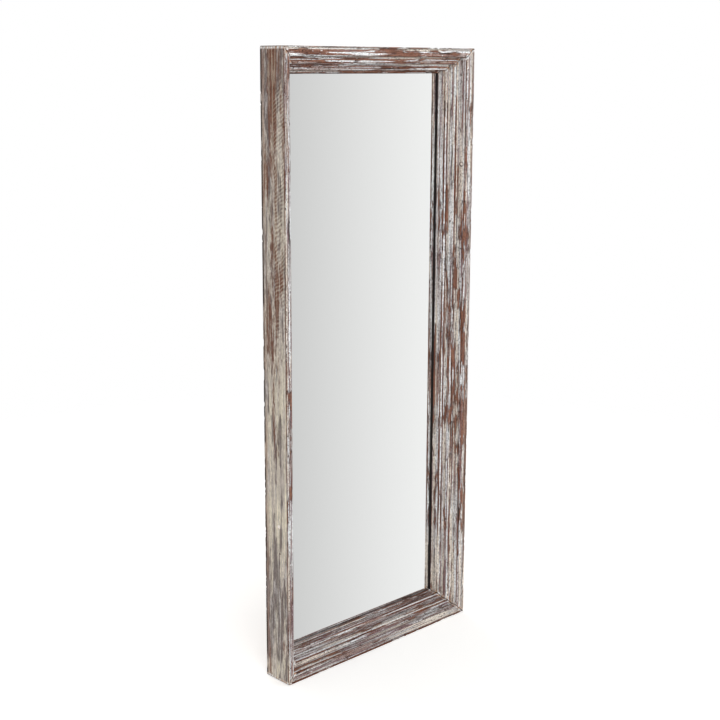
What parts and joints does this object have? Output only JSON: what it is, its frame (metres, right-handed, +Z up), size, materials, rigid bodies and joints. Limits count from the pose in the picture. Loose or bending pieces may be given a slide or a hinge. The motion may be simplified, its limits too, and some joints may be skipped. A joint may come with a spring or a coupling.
{
  "type": "wooden mirror",
  "caption": "Tall wall mirror in a deep stepped and mitred wooden frame with worn whitewash, plain glass and hanging rings on the rear.",
  "frame": {"origin": "centre of the object's box at floor level, under the lower edge of the frame", "axes": "+Z up along the height, +X along the width, -Y out of the front of the glass, +Y towards the wall"},
  "size_m": [0.75, 0.108, 1.8],
  "materials": {
    "whitewashed_wood": "worn whitewash rubbed through to brown wood",
    "raw_batten_wood": "sawn, unfinished",
    "silvered_glass": "polished, silvered behind",
    "hardboard": "pressed, smooth",
    "zinc_steel": "zinc plated",
    "bright_steel": "bright drawn",
    "black_rubber": "matt moulded"
  },
  "bodies": {
    "frame": {"outer_board_bottom": "whitewashed_wood", "middle_step_bottom": "whitewashed_wood", "inner_step_bottom": "whitewashed_wood", "glass_lip_bottom": "whitewashed_wood", "outer_board_left": "whitewashed_wood", "middle_step_left": "whitewashed_wood", "inner_step_left": "whitewashed_wood", "glass_lip_left": "whitewashed_wood", "outer_board_top": "whitewashed_wood", "middle_step_top": "whitewashed_wood", "inner_step_top": "whitewashed_wood", "glass_lip_top": "whitewashed_wood", "outer_board_right": "whitewashed_wood", "middle_step_right": "whitewashed_wood", "inner_step_right": "whitewashed_wood", "glass_lip_right": "whitewashed_wood", "mirror_glass": "silvered_glass", "setting_blocks": "black_rubber", "back_panel": "hardboard", "rear_batten_bottom": "raw_batten_wood", "rear_batten_left": "raw_batten_wood", "rear_batten_top": "raw_batten_wood", "rear_batten_right": "raw_batten_wood", "batten_pins": "bright_steel", "corner_brace_bottom_left": "zinc_steel", "corner_brace_top_left": "zinc_steel", "corner_brace_top_right": "zinc_steel", "corner_brace_bottom_right": "zinc_steel", "brace_screws": "bright_steel", "hanger_strap_left": "zinc_steel", "hanger_strap_right": "zinc_steel", "strap_screws": "bright_steel", "bumper_bottom_left": "black_rubber", "bumper_top_left": "black_rubber", "bumper_top_right": "black_rubber", "bumper_bottom_right": "black_rubber"},
    "left_ring": {"hanger_ring_left": "bright_steel"},
    "right_ring": {"hanger_ring_right": "bright_steel"}
  },
  "joints": [
    {"name": "left_ring_swing", "type": "hinge", "parent": "frame", "child": "left_ring", "pos_m": [-0.351, 0.04955, 1.5], "axis": [1, 0, 0], "range_deg": [0, 180]},
    {"name": "right_ring_swing", "type": "hinge", "parent": "frame", "child": "right_ring", "pos_m": [0.351, 0.04955, 1.5], "axis": [1, 0, 0], "range_deg": [0, 180]}
  ]
}
